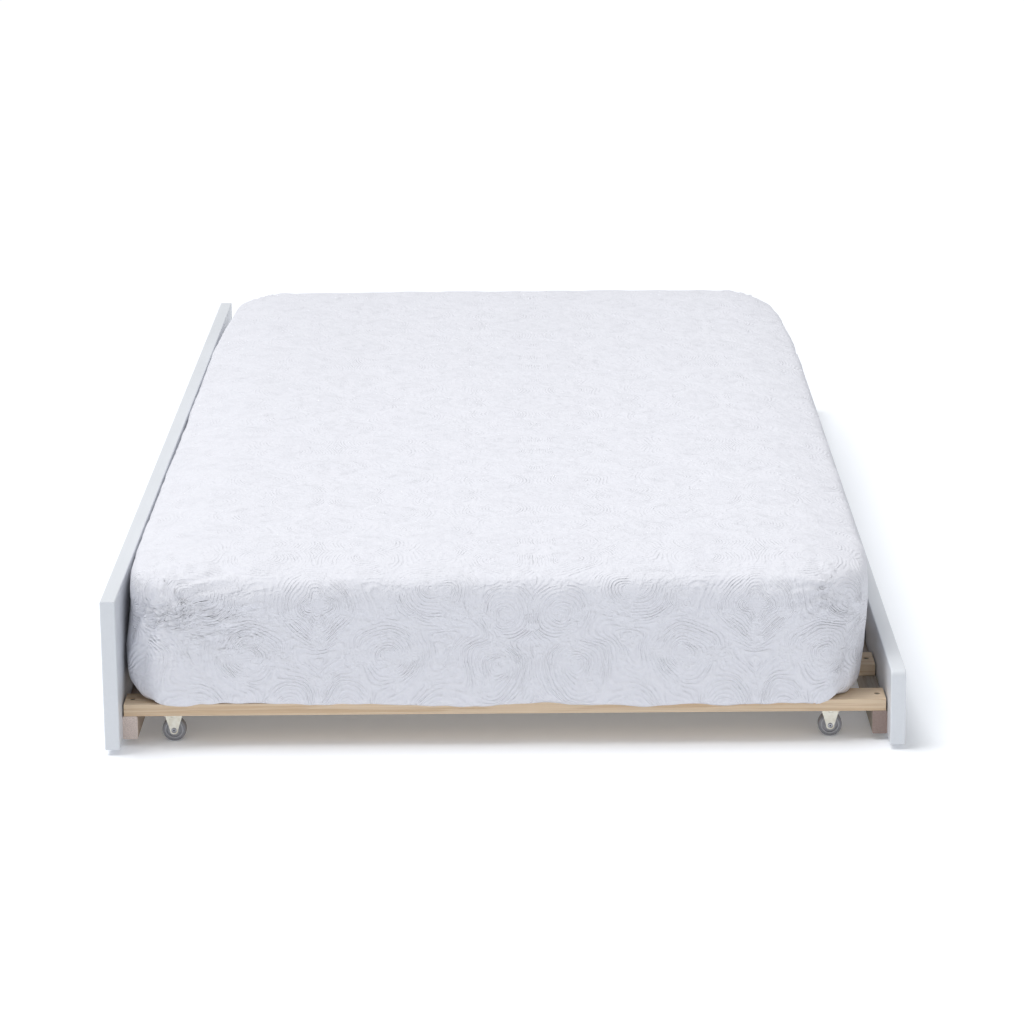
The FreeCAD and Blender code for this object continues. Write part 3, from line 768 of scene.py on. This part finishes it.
def open_underneath(form, rest):
    """Cuts the opening under the mattress and draws its edge to an even line."""
    layer = form.data.attributes.new("rest", "FLOAT_VECTOR", "POINT")
    layer.data.foreach_set("vector", rest.ravel())
    deep, out, _ = plan(rest)
    hidden = (rest[:, 2] < COVER_LOW.z + MM) & (deep > HEM_TURN)
    bm = bmesh.new()
    bm.from_mesh(form.data)
    memory = bm.verts.layers.float_vector["rest"]
    gone = [v for v in bm.verts if hidden[v.index]]
    kept_edge = {e.other_vert(v).index for v in gone for e in v.link_edges}
    edge = [v for v in bm.verts if v.index in kept_edge and not hidden[v.index]]
    for vert in edge:
        inward = HEM_TURN - deep[vert.index]
        shift = Vector((*(-out[vert.index] * inward), 0))
        vert.co += shift
        vert[memory] = vert[memory] + shift
    bmesh.ops.delete(bm, geom=gone, context="VERTS")
    bm.to_mesh(form.data)
    bm.free()
    finer = form.modifiers.new("finer", "SUBSURF")
    finer.levels = finer.render_levels = 1
    settled(form)
    mesh = form.data
    rest = np.zeros(len(mesh.vertices) * 3)
    mesh.attributes["rest"].data.foreach_get("vector", rest)
    mesh.attributes.remove(mesh.attributes["rest"])
    return rest.reshape(-1, 3)


def lay_pattern(mesh, rest):
    """Gives every face its place on the flat cloth, and returns each point's."""
    corner_of = np.zeros(len(mesh.loops), dtype=int)
    mesh.loops.foreach_get("vertex_index", corner_of)
    face_of = np.repeat(np.arange(len(mesh.polygons)), [p.loop_total for p in mesh.polygons])
    _, _, round_corner = plan(rest)
    total = np.bincount(face_of, round_corner[corner_of])
    mean = total / np.bincount(face_of)
    onto_side = (mean > math.pi / 4)[face_of]
    uv = mesh.uv_layers.new(name="cloth")
    uv.data.foreach_set("uv", flat_cloth(rest[corner_of], onto_side).ravel())
    return flat_cloth(rest, round_corner > math.pi / 4)


def make_cover(form, rest):
    """The fitted cover: cloth all round, turned under at the foot, with its pattern raised."""
    form.name = "fitted_cover"
    rest = open_underneath(form, rest)
    mesh = form.data
    mesh.name = "fitted_cover"
    shape_cover(mesh, rest, lay_pattern(mesh, rest))
    dress(mesh, cover_cloth())
    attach(form, "mattress")
    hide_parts("mattress_cover")
    return form


def hem_line():
    """The opening's outline, with round corners, as a curve as thick as the tape."""
    curve = bpy.data.curves.new("hem_line", "CURVE")
    curve.dimensions = "3D"
    curve.bevel_depth = HEM_THICK
    curve.bevel_resolution = 2
    curve.resolution_u = 16
    radius = CORNER - HEM_TURN
    arm = radius * ARC_HANDLE
    wide, long = HALF_WIDE - HEM_TURN, HALF_LONG - HEM_TURN
    middle = Vector((MIDDLE.x, MIDDLE.y, SLAT_TOP + HEM_THICK))
    line = curve.splines.new("BEZIER")
    line.bezier_points.add(7)
    line.use_cyclic_u = True
    corners = ((1, 1), (-1, 1), (-1, -1), (1, -1))
    for i, (sx, sy) in enumerate(corners):
        beside = Vector((sx * wide, sy * (long - radius), 0))
        ahead = Vector((sx * (wide - radius), sy * long, 0))
        first, last = (beside, ahead) if sx * sy > 0 else (ahead, beside)
        for knot, spot in ((2 * i, first), (2 * i + 1, last)):
            point = line.bezier_points[knot]
            point.co = middle + spot
            bend = Vector((0, sy * arm, 0)) if spot is beside else Vector((sx * arm, 0, 0))
            forward = bend if knot % 2 == 0 else -bend
            point.handle_left_type = point.handle_right_type = "FREE"
            point.handle_right = point.co + forward
            point.handle_left = point.co - forward
    return curve


def make_hem():
    """Tape bound round the edge of the cover's opening."""
    line = bpy.data.objects.new("cover_hem", hem_line())
    scene.collection.objects.link(line)
    graph = bpy.context.evaluated_depsgraph_get()
    mesh = bpy.data.meshes.new_from_object(line.evaluated_get(graph))
    bpy.data.objects.remove(line)
    hem = bpy.data.objects.new("cover_hem", mesh)
    scene.collection.objects.link(hem)
    dress(mesh, binding())
    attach(hem, "mattress")
    return hem


mattress = block()
mattress_rest = read(mattress.data)
swell(mattress)
slump(mattress, mattress_rest)
make_pad(mattress)
fitted_cover = make_cover(mattress, mattress_rest)
cover_hem = make_hem()


# Camera, light and floor


def look():
    """A long lens from the foot end, a little above and to the right of the middle."""
    lens = bpy.data.cameras.new("camera")
    lens.lens = 126.66
    lens.sensor_width = 36.0
    lens.clip_end = 1000.0
    camera = bpy.data.objects.new("camera", lens)
    place = Matrix.Translation((0.0385, -5.5359, 1.5356))
    turn = Matrix.Rotation(math.radians(0.327), 4, "Z")
    tilt = Matrix.Rotation(math.radians(90 - 14.827), 4, "X")
    roll = Matrix.Rotation(math.radians(-0.544), 4, "Z")
    camera.matrix_world = place @ turn @ tilt @ roll
    scene.collection.objects.link(camera)
    scene.camera = camera


def floor():
    """A plain white floor that reaches the horizon."""
    bm = bmesh.new()
    bmesh.ops.create_grid(bm, x_segments=1, y_segments=1, size=400)
    ground = mesh_piece("floor", bm)
    finish = Finish("floor_white", roughness=0.9, Specular_IOR_Level=0.0)
    finish.colour((0.925, 0.945, 0.98))
    finish.shader.inputs["Emission Color"].default_value = (1, 1, 1, 1)
    finish.shader.inputs["Emission Strength"].default_value = 0.11
    ground.data.materials.append(finish.material)


def lights():
    """A broad soft light from overhead, a little to the left, a weak one above the foot end, and
    even light all round."""
    sun = bpy.data.lights.new("softbox", "SUN")
    sun.energy = 0.50 * math.pi
    sun.angle = math.radians(34)
    lamp = bpy.data.objects.new("softbox", sun)
    lamp.rotation_mode = "QUATERNION"
    lamp.rotation_quaternion = Vector((-0.42, 0.02, 1.0)).to_track_quat("Z", "Y")
    scene.collection.objects.link(lamp)
    panel = bpy.data.lights.new("near_softbox", "AREA")
    panel.size = 1.4
    panel.energy = 9
    lamp = bpy.data.objects.new("near_softbox", panel)
    lamp.matrix_world = Matrix.Translation((-0.30, -0.70, 2.5))
    scene.collection.objects.link(lamp)
    world = bpy.data.worlds.new("studio")
    world.use_nodes = True
    background = world.node_tree.nodes["Background"]
    background.inputs["Color"].default_value = (0.98, 0.99, 1.0, 1.0)
    background.inputs["Strength"].default_value = 0.53
    scene.world = world
    scene.view_settings.view_transform = "Standard"


look()
floor()
lights()
